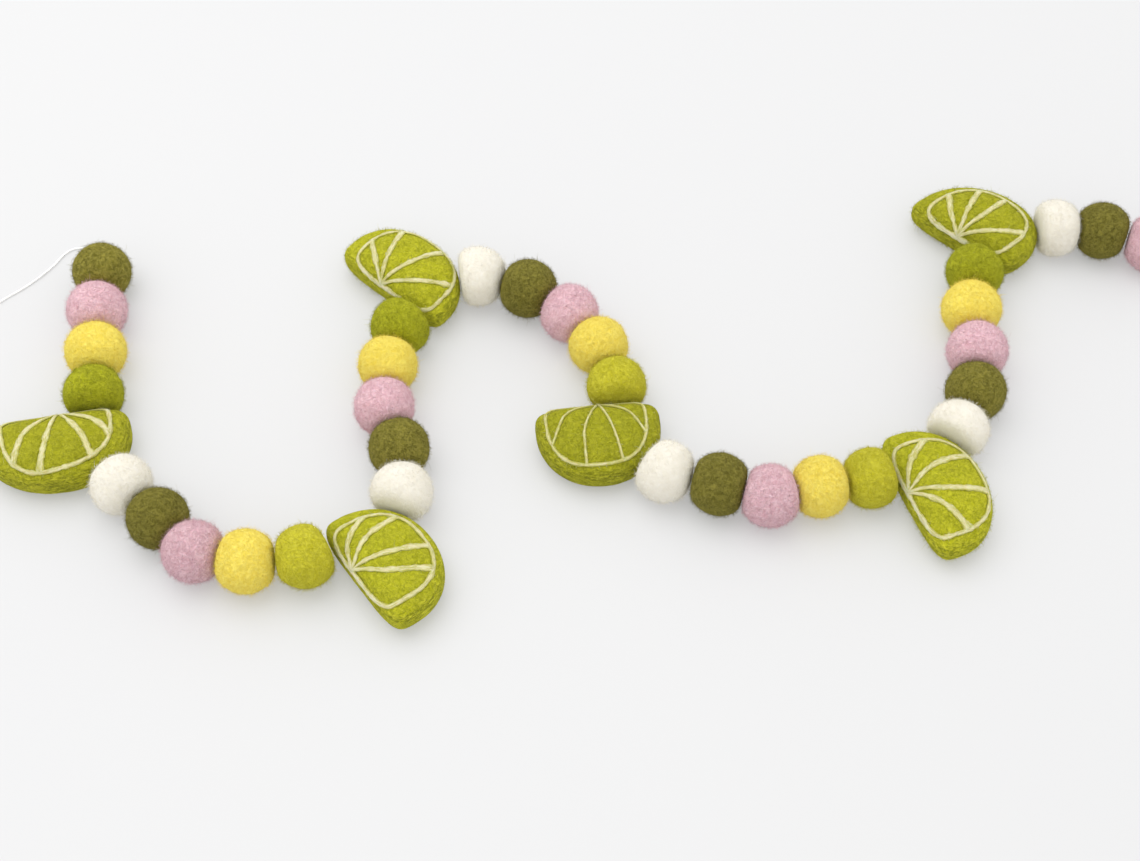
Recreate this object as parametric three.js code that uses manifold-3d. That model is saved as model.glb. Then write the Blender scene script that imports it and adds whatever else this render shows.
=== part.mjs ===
import * as THREE from "three";
import { mergeVertices } from "three/addons/utils/BufferGeometryUtils.js";
import Module from "manifold-3d";

// Felt ball garland, lying in waves on a flat surface. Sizes in millimetres, +Z up.
// Wool felt balls and half-round lime slices of felt are threaded on one cotton thread and pushed
// together, so that each piece is a little flattened where it meets the next.
// The origin lies on the surface, under the middle of the balls' and slices' outline.

// Felt balls
const BALL_WIDTH = 25; // across the thread
const BALL_SETTLE = 0.9; // how far its own weight flattens a ball where it stands
const BALL_UNEVEN = 0.35; // hand-rolled lumps, out from and into the round form
const BALL_SPREAD = 0.015; // share by which one ball is bigger or smaller than the next
const CHEEK_ROUND = 1.6; // width of the soft edge round a flattened cheek

// Lime slices
const SLICE_THICK = 20;
const SLICE_SETTLE = 1.55; // how deep the underside is flattened where it lies
const SLICE_BACK = 9; // from the cut edge to the widest line of the slice
const SLICE_CENTRE = 7; // from the widest line to the middle of the top, towards the rind
const SLICE_UNEVEN = 0.3;
const CUT_EDGE_POWER = 4.2; // how square the two corners of the cut edge are, 2 being an ellipse
const RIND_POWER = 2.1; // how square the round rind side is
const SECTION_POWER = 2.6; // how square the edge is from the side

// Lines of white yarn on a slice: a closed line shaped like the slice, and four spokes in it
const LINE_START = 0.6; // from the cut edge to the line's straight side
const LINE_POWER = 2.5; // how square its round side is
const LINE_STATIONS = 38;
const SPOKE_STATIONS = [0, 0.1, 0.22, 0.38, 0.58, 0.8, 1]; // shares of a spoke, from the hub
const YARN_HEIGHT = 0.9;
const YARN_BASE = 1.9; // width on the felt
const YARN_CROWN = 1; // width of its top
const YARN_FINEST = 0.1; // smallest detail kept where strands run into each other

// Thread
const THREAD_WIDTH = 1;
const THREAD_LIFT = 0.1; // between the surface and the thread that lies on it
const KNOT_RADIUS = 1.2;
const KNOT_STRAND = 0.45; // half of what is left of the thread's width where a knot pulls it tight

const CLEARANCE = 0.3; // kept between two pieces that touch

const BALL_COLOURS = {
  olive: 0x7d7530,
  pink: 0xdfb6bd,
  yellow: 0xeedb69,
  lime: 0xa9a428,
  white: 0xefeae0,
};
const SLICE_COLOUR = 0xa8a82c;
const YARN_COLOUR = 0xe4dfb4;
const THREAD_COLOUR = 0xf0efe9;

// One row for each run of balls between two slices: the centre of its first ball, then for each
// next ball the way to it along the thread, as a length and a heading in degrees from +X.
const FULL_RUN = ["white", "olive", "pink", "yellow", "lime"];
const RUNS = [
  { balls: FULL_RUN.slice(1), start: [-203, 76], gaps: [21.7, 22, 22.5], headings: [-87, -83, -84] },
  { balls: FULL_RUN, start: [-179, -34], gaps: [23.2, 22, 21.1, 23.1], headings: [-44, -44, -12, 5] },
  { balls: FULL_RUN, start: [-67, -38], gaps: [21.6, 21.7, 21.1, 21.1], headings: [96, 109, 89, 79] },
  { balls: FULL_RUN, start: [-40, 73], gaps: [23, 22.4, 20.9, 22.6], headings: [-17, -37, -55, -71] },
  { balls: FULL_RUN, start: [38, -28], gaps: [22.6, 20.4, 20.9, 21.4], headings: [-16, -16, 13, 11] },
  { balls: FULL_RUN, start: [158, -7.5], gaps: [21.3, 21.6, 22, 21.8], headings: [63, 81, 89, 79] },
  { balls: FULL_RUN.slice(0, 3), start: [214, 101], gaps: [20.9, 22.1], headings: [-4, -21] },
];

// One row for each slice, in the order of the thread: the middle of its cut edge, the heading that
// the cut edge faces, its width along that edge, its depth to the rind, and how far its rind leans
// to one side, as a share of the depth.
const SLICES = [
  { edge: [-210.5, -1], facing: 101, width: 61, depth: 34, lean: -0.1 },
  { edge: [-82.5, -78], facing: 216, width: 55, depth: 34.5, lean: 0.05 },
  { edge: [-80.5, 66], facing: 229, width: 58, depth: 33, lean: -0.05 },
  { edge: [10.5, 4], facing: 96, width: 51.5, depth: 35.5, lean: 0 },
  { edge: [134, -40.5], facing: 200, width: 59, depth: 33.5, lean: 0 },
  { edge: [172, 92], facing: 229, width: 53.5, depth: 35, lean: 0.2 },
];

// One row for the yarn on each slice: the closed line's width and depth, how far it lies to one side
// and how far its round side slants, and the hub's place along its straight side. Then for each
// spoke the place half-way where it bends and the place where it ends, both across and deep from
// the middle of the cut edge.
const YARN_LINES = [
  {
    wide: 43.6, deep: 29.4, aside: -1.4, slant: 0.14, hub: -3,
    bends: [[11, 10.8], [3.5, 17], [-10.6, 14], [-17.8, 9.5]],
    ends: [[17.3, 23.7], [7.5, 29.6], [-13.6, 25.6], [-22, 16.3]],
  },
  {
    wide: 40.8, deep: 30.2, aside: 0.5, slant: 0, hub: -2.6,
    bends: [[7, 10.3], [0.4, 14.4], [-9.8, 11.6], [-12, 4.8]],
    ends: [[15, 25.7], [5.5, 29.8], [-12.6, 27], [-19.5, 15.5]],
  },
  {
    wide: 44.2, deep: 30.4, aside: 2.4, slant: 0, hub: -2.4,
    bends: [[11.4, 9.8], [2.5, 14.9], [-7.2, 10], [-9.6, 5.7]],
    ends: [[22.6, 18.4], [8.2, 29.2], [-12.8, 26.5], [-19.4, 13.3]],
  },
  {
    wide: 40.6, deep: 31.4, aside: 1, slant: 0, hub: -0.6,
    bends: [[12.2, 6], [6.1, 15], [-5.1, 15], [-12.3, 7.7]],
    ends: [[19.7, 19.8], [7, 30.8], [-7.8, 30], [-18.3, 17.8]],
  },
  {
    wide: 44.5, deep: 30.4, aside: 1.6, slant: 0, hub: -1.2,
    bends: [[11, 9.9], [4.5, 13.8], [-6.9, 13.1], [-11, 5.4]],
    ends: [[23.4, 14.4], [10, 29.5], [-7.6, 29.3], [-20, 16]],
  },
  {
    wide: 38.6, deep: 29.2, aside: 0.7, slant: 0, hub: 0.2,
    bends: [[9.6, 9.5], [0.8, 14.7], [-5.8, 12.7], [-9.6, 7]],
    ends: [[18.6, 18.4], [0.2, 29], [-11.2, 26.4], [-18, 15.4]],
  },
];

// The thread's free end, from the first ball's far side, as steps from that ball's centre.
const THREAD_ROUTE = [
  { x: -0.6, y: 12.9, z: 0.3 }, // at the ball
  { x: -0.7, y: 14.8, z: 0.1 },
  { x: -1, y: 16.4, z: -1.7 },
  { x: -1.6, y: 17.3, z: -4.6 },
  { x: -3, y: 18.2, z: -8 },
  { x: -6, y: 19.6, z: -10.4 },
  { x: -10, y: 21.3, z: -11 }, // down on the surface
  { x: -14.5, y: 22.6, z: -11 },
  { x: -18.5, y: 21.9, z: -11 },
  { x: -22, y: 18.8, z: -11 },
  { x: -25.5, y: 12.8, z: -11 },
  { x: -30.2, y: 6.5, z: -11 },
  { x: -36.6, y: -0.2, z: -11 },
  { x: -44.8, y: -7.2, z: -11 },
  { x: -52.5, y: -15.5, z: -11 },
  { x: -58.5, y: -25.5, z: -11 },
  { x: -61.5, y: -36.5, z: -11 },
  { x: -61, y: -47.5, z: -11 },
  { x: -56.5, y: -57, z: -11 }, // at its knot
];

const TURN = Math.PI / 180;
const UP = new THREE.Vector3(0, 0, 1);
const solids = await Module();
solids.setup();

const heading = (degrees) => new THREE.Vector3(Math.cos(degrees * TURN), Math.sin(degrees * TURN), 0);

// Slow swells over a round form, different for each piece: about -1 to 1 in every direction.
function swell(direction, seed) {
  const { x, y, z } = direction;
  const wave = (along, start) => Math.sin(along + start * seed);
  const broad = wave(2.1 * x, 1.7) + wave(2.4 * y, 2.9) + wave(2.2 * z, 4.3);
  const fine = wave(4.3 * x - 3.1 * y, 5.3) + wave(3.7 * z + 4.1 * y, 6.1);
  return broad / 4.5 + fine / 6;
}

// A closed surface made from a sphere by putting each of its directions in a new place.
function shapedSphere(segments, rings, place) {
  const sphere = new THREE.SphereGeometry(1, segments, rings).rotateX(Math.PI / 2);
  sphere.deleteAttribute("normal");
  sphere.deleteAttribute("uv");
  const geometry = mergeVertices(sphere, 1e-4);
  const position = geometry.getAttribute("position");
  const direction = new THREE.Vector3();
  for (let i = 0; i < position.count; i++) {
    direction.fromBufferAttribute(position, i).normalize();
    position.setXYZ(i, ...place(direction.clone()).toArray());
  }
  geometry.computeVertexNormals();
  return geometry;
}

// The smaller of a and b, with a soft turn of the given width where they meet.
function softMin(a, b, width) {
  const near = Math.max(width - Math.abs(a - b), 0) / width;
  return Math.min(a, b) - (near * near * width) / 4;
}

// A half-round outline seen from above, nearly straight on one side, at a turn of its own about the
// middle of its widest line: across is along the straight side, and deep is towards the round side.
function halfRound(width, back, front, roundPower, turn) {
  const power = Math.sin(turn) < 0 ? CUT_EDGE_POWER : roundPower;
  const reach = Math.sin(turn) < 0 ? back : front;
  const signedPower = (value) => Math.sign(value) * Math.abs(value) ** (2 / power);
  return new THREE.Vector2((width / 2) * signedPower(Math.cos(turn)), reach * signedPower(Math.sin(turn)));
}

function sliceOutline(slice, turn) {
  return halfRound(slice.width, SLICE_BACK, slice.depth - SLICE_BACK, RIND_POWER, turn);
}

// The outline as points in order, close enough together to measure from.
function outlinePoints(slice) {
  const points = [];
  for (let turn = 0; turn < 360; turn += 2) points.push(sliceOutline(slice, turn * TURN));
  return points;
}

// Where the ray at a heading from a point inside the outline leaves it.
function outlineAlong(slice, from, angle) {
  const ray = new THREE.Vector2(Math.cos(angle), Math.sin(angle));
  const points = outlinePoints(slice);
  for (let i = 0; i < points.length; i++) {
    const a = points[i].clone().sub(from);
    const b = points[(i + 1) % points.length].clone().sub(from);
    const sideA = ray.cross(a);
    const sideB = ray.cross(b);
    if (sideA <= 0 && sideB > 0) {
      const hit = a.lerp(b, sideA / (sideA - sideB));
      if (hit.dot(ray) > 0) return hit.dot(ray);
    }
  }
  throw new Error("the point lies outside the slice");
}

const sliceMiddle = new THREE.Vector2(0, SLICE_CENTRE);

// The top of a slice over a point of its plan.
function sliceTop(slice, point) {
  const out = point.clone().sub(sliceMiddle);
  const share = out.length() / outlineAlong(slice, sliceMiddle, out.angle());
  const half = (1 - Math.min(share, 1) ** SECTION_POWER) ** (1 / SECTION_POWER);
  return sliceToGarland(slice, point.x, point.y, (SLICE_THICK / 2) * (1 + half) - SLICE_SETTLE);
}

// The way straight out of a slice's top over a point of its plan.
function sliceTopNormal(slice, point) {
  const step = 0.2;
  const across = sliceTop(slice, point.clone().add(new THREE.Vector2(step, 0))).sub(sliceTop(slice, point));
  const deep = sliceTop(slice, point.clone().add(new THREE.Vector2(0, step))).sub(sliceTop(slice, point));
  const normal = across.cross(deep).normalize();
  return normal.z < 0 ? normal.negate() : normal;
}

// From a slice's own plan, across and deep, to the garland's frame.
function sliceToGarland(slice, across, deep, height) {
  const inward = heading(slice.facing + 180);
  const along = inward.clone().cross(UP);
  const inside = deep + SLICE_BACK;
  return new THREE.Vector3(slice.edge[0], slice.edge[1], height)
    .addScaledVector(along, across + slice.lean * (inside - slice.depth / 2))
    .addScaledVector(inward, inside);
}

// A slice is a flattened cushion over its outline: round at the rim, nearly level on top.
function sliceGeometry(slice, seed) {
  const round = (value) => Math.sign(value) * Math.abs(value) ** (2 / SECTION_POWER);
  return shapedSphere(28, 10, (direction) => {
    const level = Math.hypot(direction.x, direction.y);
    const angle = Math.atan2(direction.y, direction.x);
    const dent = (SLICE_UNEVEN / 2) * (1 + swell(direction, seed));
    const rim = outlineAlong(slice, sliceMiddle, angle) - dent;
    const out = round(level) * rim;
    const height = (SLICE_THICK / 2) * (1 + round(direction.z)) - SLICE_SETTLE;
    return sliceToGarland(
      slice,
      out * Math.cos(angle),
      SLICE_CENTRE + out * Math.sin(angle),
      Math.max(height, 0),
    );
  });
}

// The yarn's closed line in a slice's plan, as evenly spaced points.
function closedLine(lines) {
  const back = SLICE_BACK - LINE_START;
  const front = lines.deep - SLICE_BACK;
  const points = [];
  for (let turn = 0; turn < 360; turn += 5) {
    const { x, y } = halfRound(lines.wide, back, front, LINE_POWER, turn * TURN);
    const slant = (lines.slant * x * (y + back)) / (front + back);
    points.push(new THREE.Vector3(x + lines.aside, y + slant, 0));
  }
  const line = new THREE.CatmullRomCurve3(points, true).getSpacedPoints(LINE_STATIONS);
  return line.slice(0, -1).map(({ x, y }) => new THREE.Vector2(x, y));
}

// A spoke in a slice's plan, from the hub over its bend to the closed line.
function spokeLine(lines, spoke) {
  const inPlan = ([across, deep]) => new THREE.Vector3(across, deep - SLICE_BACK, 0);
  const knots = [[lines.hub, LINE_START], lines.bends[spoke], lines.ends[spoke]].map(inPlan);
  const line = new THREE.CatmullRomCurve3(knots);
  return SPOKE_STATIONS.map((share) => {
    const { x, y } = line.getPointAt(share);
    return new THREE.Vector2(x, y);
  });
}

// Yarn laid over a slice along a line of its plan: flat on the felt and narrower on top.
function yarnStrand(slice, line, closed) {
  const count = line.length;
  const places = line.map((point) => sliceTop(slice, point));
  const vertices = [];
  line.forEach((point, i) => {
    const before = places[closed ? (i + count - 1) % count : Math.max(i - 1, 0)];
    const after = places[closed ? (i + 1) % count : Math.min(i + 1, count - 1)];
    const normal = sliceTopNormal(slice, point);
    const side = after.clone().sub(before).cross(normal).normalize();
    for (const [out, up] of [[YARN_BASE, 0], [YARN_CROWN, 1], [-YARN_CROWN, 1], [-YARN_BASE, 0]]) {
      const corner = places[i].clone().addScaledVector(side, out / 2);
      vertices.push(...corner.addScaledVector(normal, CLEARANCE + up * YARN_HEIGHT).toArray());
    }
  });
  const faces = [];
  const quad = (a, b, c, d) => faces.push(a, c, b, a, d, c);
  for (let i = 0; i < (closed ? count : count - 1); i++) {
    const here = 4 * i;
    const next = 4 * ((i + 1) % count);
    for (let k = 0; k < 4; k++) quad(here + k, here + ((k + 1) % 4), next + ((k + 1) % 4), next + k);
  }
  if (!closed) {
    quad(3, 2, 1, 0);
    const end = 4 * (count - 1);
    quad(end, end + 1, end + 2, end + 3);
  }
  return new solids.Manifold(
    new solids.Mesh({
      numProp: 3,
      vertProperties: new Float32Array(vertices),
      triVerts: new Uint32Array(faces),
    }),
  );
}

// The white yarn on a slice, as one piece.
function yarnGeometry(slice, lines) {
  const strands = [yarnStrand(slice, closedLine(lines), true)];
  for (let spoke = 0; spoke < lines.ends.length; spoke++) {
    strands.push(yarnStrand(slice, spokeLine(lines, spoke), false));
  }
  const mesh = solids.Manifold.union(strands).simplify(YARN_FINEST).getMesh();
  const geometry = new THREE.BufferGeometry();
  geometry.setAttribute("position", new THREE.BufferAttribute(mesh.vertProperties, 3));
  geometry.setIndex(new THREE.BufferAttribute(mesh.triVerts, 1));
  geometry.computeVertexNormals();
  return geometry;
}

// Where a ball meets a slice: the nearest point of the slice's outline, with the way there, less the
// height of any yarn between the two.
function cheekAgainstSlice(ball, slice, yarn) {
  let nearest = null;
  for (const point of outlinePoints(slice)) {
    const place = sliceToGarland(slice, point.x, point.y, ball.centre.z);
    const way = place.sub(ball.centre);
    if (!nearest || way.length() < nearest.length()) nearest = way;
  }
  return { way: nearest.clone().normalize(), reach: nearest.length() - yarn - CLEARANCE };
}

// Where a ball meets the next ball: half-way between the two.
function cheekAgainstBall(ball, other) {
  const way = other.centre.clone().sub(ball.centre);
  return { way: way.clone().normalize(), reach: (way.length() - CLEARANCE) / 2 };
}

// A ball is round, a little uneven, flattened towards each neighbour and where it stands.
function ballGeometry(ball, cheeks, seed) {
  return shapedSphere(16, 8, (direction) => {
    const offset = direction.clone().multiplyScalar(ball.radius + BALL_UNEVEN * swell(direction, seed));
    for (const { way, reach } of cheeks) {
      const out = offset.dot(way);
      offset.addScaledVector(way, softMin(out, reach, CHEEK_ROUND) - out);
    }
    const point = offset.add(ball.centre);
    point.z = Math.max(point.z, 0);
    return point;
  });
}

// Places of the balls of one run, one after the other along the thread.
function layRun(run, count) {
  const spot = new THREE.Vector3(run.start[0], run.start[1], 0);
  return run.balls.map((colour, i) => {
    if (i > 0) spot.addScaledVector(heading(run.headings[i - 1]), run.gaps[i - 1]);
    const radius = (BALL_WIDTH / 2) * (1 + BALL_SPREAD * Math.sin(7.3 * (count + i)));
    return { colour, radius, centre: spot.clone().setZ(radius - BALL_SETTLE) };
  });
}

// The thread's free end: a round section along a smooth route.
function threadRoute(origin) {
  const low = THREAD_WIDTH / 2 + THREAD_LIFT;
  const points = THREAD_ROUTE.map(({ x, y, z }) => new THREE.Vector3(x, y, z).add(origin));
  for (const point of points) point.z = Math.max(point.z, low);
  return new THREE.CatmullRomCurve3(points, false, "centripetal");
}

function threadGeometry(route) {
  const section = new THREE.Shape();
  section.absarc(0, 0, THREAD_WIDTH / 2, 0, 2 * Math.PI);
  const steps = Math.round(route.getLength() / (3 * THREAD_WIDTH));
  return new THREE.ExtrudeGeometry(section, {
    steps,
    extrudePath: route,
    curveSegments: 4,
    bevelEnabled: false,
  });
}

// An overhand knot pulled tight, as a flat trefoil that faces a given way.
function knotGeometry(centre, way) {
  const knot = new THREE.TorusKnotGeometry(KNOT_RADIUS, KNOT_STRAND, 24, 6, 2, 3);
  knot.applyQuaternion(new THREE.Quaternion().setFromUnitVectors(UP, way));
  return knot.translate(...centre.toArray());
}

function addPiece(group, name, geometry, colour, roughness) {
  const material = new THREE.MeshStandardMaterial({ color: colour, roughness, metalness: 0 });
  const mesh = new THREE.Mesh(geometry, material);
  mesh.name = name;
  group.add(mesh);
  return mesh;
}

const garland = new THREE.Group();
const runs = [];
for (const run of RUNS) runs.push(layRun(run, runs.flat().length));

SLICES.forEach((slice, i) => {
  addPiece(garland, `lime_slice_${i + 1}`, sliceGeometry(slice, i + 40), SLICE_COLOUR, 0.95);
  addPiece(garland, `slice_yarn_${i + 1}`, yarnGeometry(slice, YARN_LINES[i]), YARN_COLOUR, 0.9);
});

let ballNumber = 0;
runs.forEach((balls, r) => {
  balls.forEach((ball, i) => {
    const cheeks = [];
    if (i > 0) cheeks.push(cheekAgainstBall(ball, balls[i - 1]));
    else if (r > 0) cheeks.push(cheekAgainstSlice(ball, SLICES[r - 1], 0));
    if (i + 1 < balls.length) cheeks.push(cheekAgainstBall(ball, balls[i + 1]));
    else if (r < SLICES.length) cheeks.push(cheekAgainstSlice(ball, SLICES[r], YARN_HEIGHT));
    ballNumber += 1;
    const name = `ball_${String(ballNumber).padStart(2, "0")}`;
    addPiece(garland, name, ballGeometry(ball, cheeks, ballNumber), BALL_COLOURS[ball.colour], 0.95);
  });
});

// A knot at the far end of the string, snug against the last ball.
const lastBall = runs.at(-1).at(-1);
const lastHeading = heading(RUNS.at(-1).headings.at(-1));
const knotHalf = KNOT_RADIUS / 2 + KNOT_STRAND;
const endKnot = lastBall.centre.clone();
endKnot.addScaledVector(lastHeading, lastBall.radius + CLEARANCE + knotHalf);
addPiece(garland, "end_knot", knotGeometry(endKnot, lastHeading), THREAD_COLOUR, 0.8);

// The origin goes under the middle of the balls' and slices' outline.
const middle = new THREE.Box3().setFromObject(garland).getCenter(new THREE.Vector3());
garland.position.set(-middle.x, -middle.y, 0);

// The free end lies beyond that outline, with a knot of its own.
const route = threadRoute(runs[0][0].centre);
addPiece(garland, "free_thread", threadGeometry(route), THREAD_COLOUR, 0.8);
const knotReach = 1.5 * KNOT_RADIUS + KNOT_STRAND + CLEARANCE;
const threadKnot = route.getPoint(1).addScaledVector(route.getTangent(1), knotReach);
threadKnot.z = knotHalf + THREAD_LIFT;
addPiece(garland, "thread_knot", knotGeometry(threadKnot, UP), THREAD_COLOUR, 0.8);

export default garland;
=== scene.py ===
import math

import bmesh
import bpy
import numpy as np
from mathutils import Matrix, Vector, noise


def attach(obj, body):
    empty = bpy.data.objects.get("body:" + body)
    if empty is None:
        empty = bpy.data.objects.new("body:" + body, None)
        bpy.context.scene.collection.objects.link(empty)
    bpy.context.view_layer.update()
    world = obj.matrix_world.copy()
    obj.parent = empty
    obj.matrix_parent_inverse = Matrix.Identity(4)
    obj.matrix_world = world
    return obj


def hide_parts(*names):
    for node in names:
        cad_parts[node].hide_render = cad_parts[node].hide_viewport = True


# Felt ball garland, lying in waves on a pale table. Metres, +Z up, in the part's own frame.
# The tables give millimetres in the laying plan, whose zero the camera looks at.

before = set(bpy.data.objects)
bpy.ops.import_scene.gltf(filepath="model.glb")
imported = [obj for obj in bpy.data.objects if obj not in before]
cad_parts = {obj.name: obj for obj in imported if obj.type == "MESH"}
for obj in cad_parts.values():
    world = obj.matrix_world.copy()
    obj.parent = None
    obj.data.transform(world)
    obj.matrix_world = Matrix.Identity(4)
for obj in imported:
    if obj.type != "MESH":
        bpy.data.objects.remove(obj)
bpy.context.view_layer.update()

# Camera
# It looks down on the garland from the front, from the same side and height as the photograph.
MM = 0.001
PLAN_ZERO = np.array([-15.268, -13.660, 0]) * MM
VIEW_DISTANCE = 747 * MM
VIEW_ELEVATION = math.radians(55.2)
SENSOR_WIDTH = 36  # of the camera, in real millimetres as the focal length is
FOCAL_LENGTH = 56.84

camera_data = bpy.data.cameras.new("camera")
camera_data.lens = FOCAL_LENGTH
camera_data.sensor_width = SENSOR_WIDTH
camera = bpy.data.objects.new("camera", camera_data)
bpy.context.scene.collection.objects.link(camera)
towards_camera = Vector((0, -math.cos(VIEW_ELEVATION), math.sin(VIEW_ELEVATION)))
camera.location = Vector(PLAN_ZERO) + towards_camera * VIEW_DISTANCE
camera.rotation_euler = (math.pi / 2 - VIEW_ELEVATION, 0, 0)
bpy.context.scene.camera = camera

# Thread
# White cotton thread of three plies twisted together, 1 mm across. Its free end comes out of the
# first ball, drops to the table, runs off to the left and ends in an overhand knot.
THREAD_WIDTH = 1.0  # millimetres, as all sizes in the tables
THREAD_LIFT = 0.1
PLY_TURN = 3.4  # length of thread in which its plies go once round
PLY_DEPTH = 0.2  # of the valley between two plies, as a share of the thread's radius
THREAD_SIDES = 12
THREAD_PITCH = 0.3  # between two rings of the mesh
CURVE_STEPS = 16  # from one corner of a smooth line to the next
FIRST_BALL = [-203, 76, 11.6]  # its centre
THREAD_ROUTE = [
    (-0.6, 12.9, 0.3),  # at the ball, as steps from its centre
    (-0.7, 14.8, 0.1),
    (-1, 16.4, -1.7),
    (-1.6, 17.3, -4.6),
    (-3, 18.2, -8),
    (-6, 19.6, -10.4),
    (-10, 21.3, -11),  # down on the table
    (-14.5, 22.6, -11),
    (-18.5, 21.9, -11),
    (-22, 18.8, -11),
    (-25.5, 12.8, -11),
    (-30.2, 6.5, -11),
    (-36.6, -0.2, -11),
    (-44.8, -7.2, -11),
    (-52.5, -15.5, -11),
    (-58.5, -25.5, -11),
    (-61.5, -36.5, -11),
    (-61, -47.5, -11),
    (-56.5, -57, -11),  # at its knot
]
KNOT_RADIUS = 1.2
KNOT_STRAND = 0.45  # half of the thread's width where the knot pulls it tight
KNOT_OPEN = 0.22  # how far round the knot's loop stays open, for its two ends
KNOT_STEPS = 40
KNOT_LEAD = 0.3  # from the end of the route to the knot's first strand


class Wire:
    """A value in a material. Sums with it add Math nodes."""

    def __init__(self, finish, socket):
        self.finish = finish
        self.socket = socket

    def sum(self, operation, first, second=0.0):
        return self.finish.node("ShaderNodeMath", {"operation": operation}, {0: first, 1: second})

    def __add__(self, other):
        return self.sum("ADD", self, other)

    def __radd__(self, other):
        return self.sum("ADD", other, self)

    def __sub__(self, other):
        return self.sum("SUBTRACT", self, other)

    def __rsub__(self, other):
        return self.sum("SUBTRACT", other, self)

    def __mul__(self, other):
        return self.sum("MULTIPLY", self, other)

    def __rmul__(self, other):
        return self.sum("MULTIPLY", other, self)

    def __abs__(self):
        return self.sum("ABSOLUTE", self)


class Finish:
    """A material and what its nodes are made with."""

    def __init__(self, name):
        self.material = bpy.data.materials.new(name)
        self.material.use_nodes = True
        self.nodes = self.material.node_tree.nodes
        self.nodes.clear()

    def node(self, kind, settings, sockets, out=0):
        made = self.nodes.new(kind)
        for setting, value in settings.items():
            setattr(made, setting, value)
        for name, value in sockets.items():
            if isinstance(value, Wire):
                self.material.node_tree.links.new(value.socket, made.inputs[name])
            else:
                made.inputs[name].default_value = value
        return None if out is None else Wire(self, made.outputs[out])

    def place(self):
        return self.node("ShaderNodeTexCoord", {}, {}, "Object")

    def stretched(self, place, scale, shift=(0, 0, 0)):
        return self.node("ShaderNodeMapping", {}, {"Vector": place, "Scale": scale, "Location": shift})

    def noise(self, place, per_metre, detail=2.0, warp=0.0):
        sockets = {"Vector": place, "Scale": per_metre, "Detail": detail, "Distortion": warp}
        return self.node("ShaderNodeTexNoise", {}, sockets)

    def between(self, value, low, high):
        """0 below low, 1 above high, and a soft rise between the two."""
        sockets = {"Value": value, "From Min": low, "From Max": high}
        return self.node("ShaderNodeMapRange", {"interpolation_type": "SMOOTHSTEP"}, sockets)

    def hairs(self, place, per_metre, fineness, warp):
        """Thin lines that wander over the surface in every direction."""
        return 1 - self.between(abs(self.noise(place, per_metre, 1.5, warp) - 0.5), 0.0, fineness)

    def mix(self, share, first, second, blend="MIX"):
        settings = {"data_type": "RGBA", "blend_type": blend}
        return self.node("ShaderNodeMix", settings, {0: share, 6: first, 7: second}, 2)

    def attribute(self, name, out="Fac"):
        return self.node("ShaderNodeAttribute", {"attribute_name": name}, {}, out)

    def surface(self, colour, relief, depth, sockets):
        """The finished material, with its relief as deep as given in millimetres."""
        bump = self.node("ShaderNodeBump", {}, {"Height": relief, "Strength": 1.0, "Distance": depth * MM})
        sockets = {"Base Color": colour, "Normal": bump, **sockets}
        shader = self.node("ShaderNodeBsdfPrincipled", {}, sockets)
        self.node("ShaderNodeOutputMaterial", {}, {"Surface": shader}, out=None)
        return self.material


def colour(red, green, blue):
    """A colour as a screen shows it, 0 to 255, as light."""
    light = [((c / 255 + 0.055) / 1.055) ** 2.4 for c in (red, green, blue)]
    return (*light, 1.0)


def cotton():
    thread = Finish("cotton_thread")
    place = thread.place()
    hairs = thread.hairs(place, 1400, 0.05, 0.6)
    shade = thread.noise(place, 500, 2)
    tint = thread.mix(shade, colour(246, 245, 243), colour(252, 251, 249))
    tint = thread.mix(hairs * 0.5, tint, colour(252, 252, 250))
    sockets = {
        "Roughness": 0.8,
        "Sheen Weight": 0.3,
        "Sheen Roughness": 0.5,
        "Subsurface Weight": 0.7,
        "Subsurface Radius": (1.0, 1.0, 1.0),
        "Subsurface Scale": 1.5 * MM,
    }
    return thread.surface(tint, hairs + shade, 0.06, sockets)


def unit(vectors):
    return vectors / np.linalg.norm(vectors, axis=-1, keepdims=True)


def evenly(line, pitch):
    """The same line with its points at an even distance."""
    run = np.concatenate([[0], np.cumsum(np.linalg.norm(np.diff(line, axis=0), axis=1))])
    stops = np.linspace(0, run[-1], max(round(run[-1] / pitch), 2) + 1)
    return np.stack([np.interp(stops, run, column) for column in line.T], axis=1)


def smooth_line(corners, pitch, closed=False):
    """A smooth line through the corners, with its points at an even distance."""
    corners = np.array(corners, float)
    if closed:
        through = np.concatenate([corners[-1:], corners, corners[:2]])
    else:
        first = 2 * corners[:1] - corners[1:2]
        last = 2 * corners[-1:] - corners[-2:-1]
        through = np.concatenate([first, corners, last])
    spans = []
    for a, b, c, d in zip(through, through[1:], through[2:], through[3:]):
        at_b = np.linalg.norm(b - a) ** 0.5
        at_c = at_b + np.linalg.norm(c - b) ** 0.5
        at_d = at_c + np.linalg.norm(d - c) ** 0.5
        t = np.linspace(at_b, at_c, CURVE_STEPS, endpoint=False)[:, None]
        ab = a + (b - a) * t / at_b
        bc = b + (c - b) * (t - at_b) / (at_c - at_b)
        cd = c + (d - c) * (t - at_c) / (at_d - at_c)
        abc = ab + (bc - ab) * t / at_c
        bcd = bc + (cd - bc) * (t - at_b) / (at_d - at_b)
        spans.append(abc + (bcd - abc) * (t - at_b) / (at_c - at_b))
    spans.append(through[-2:-1])
    return evenly(np.concatenate(spans), pitch)


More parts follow.
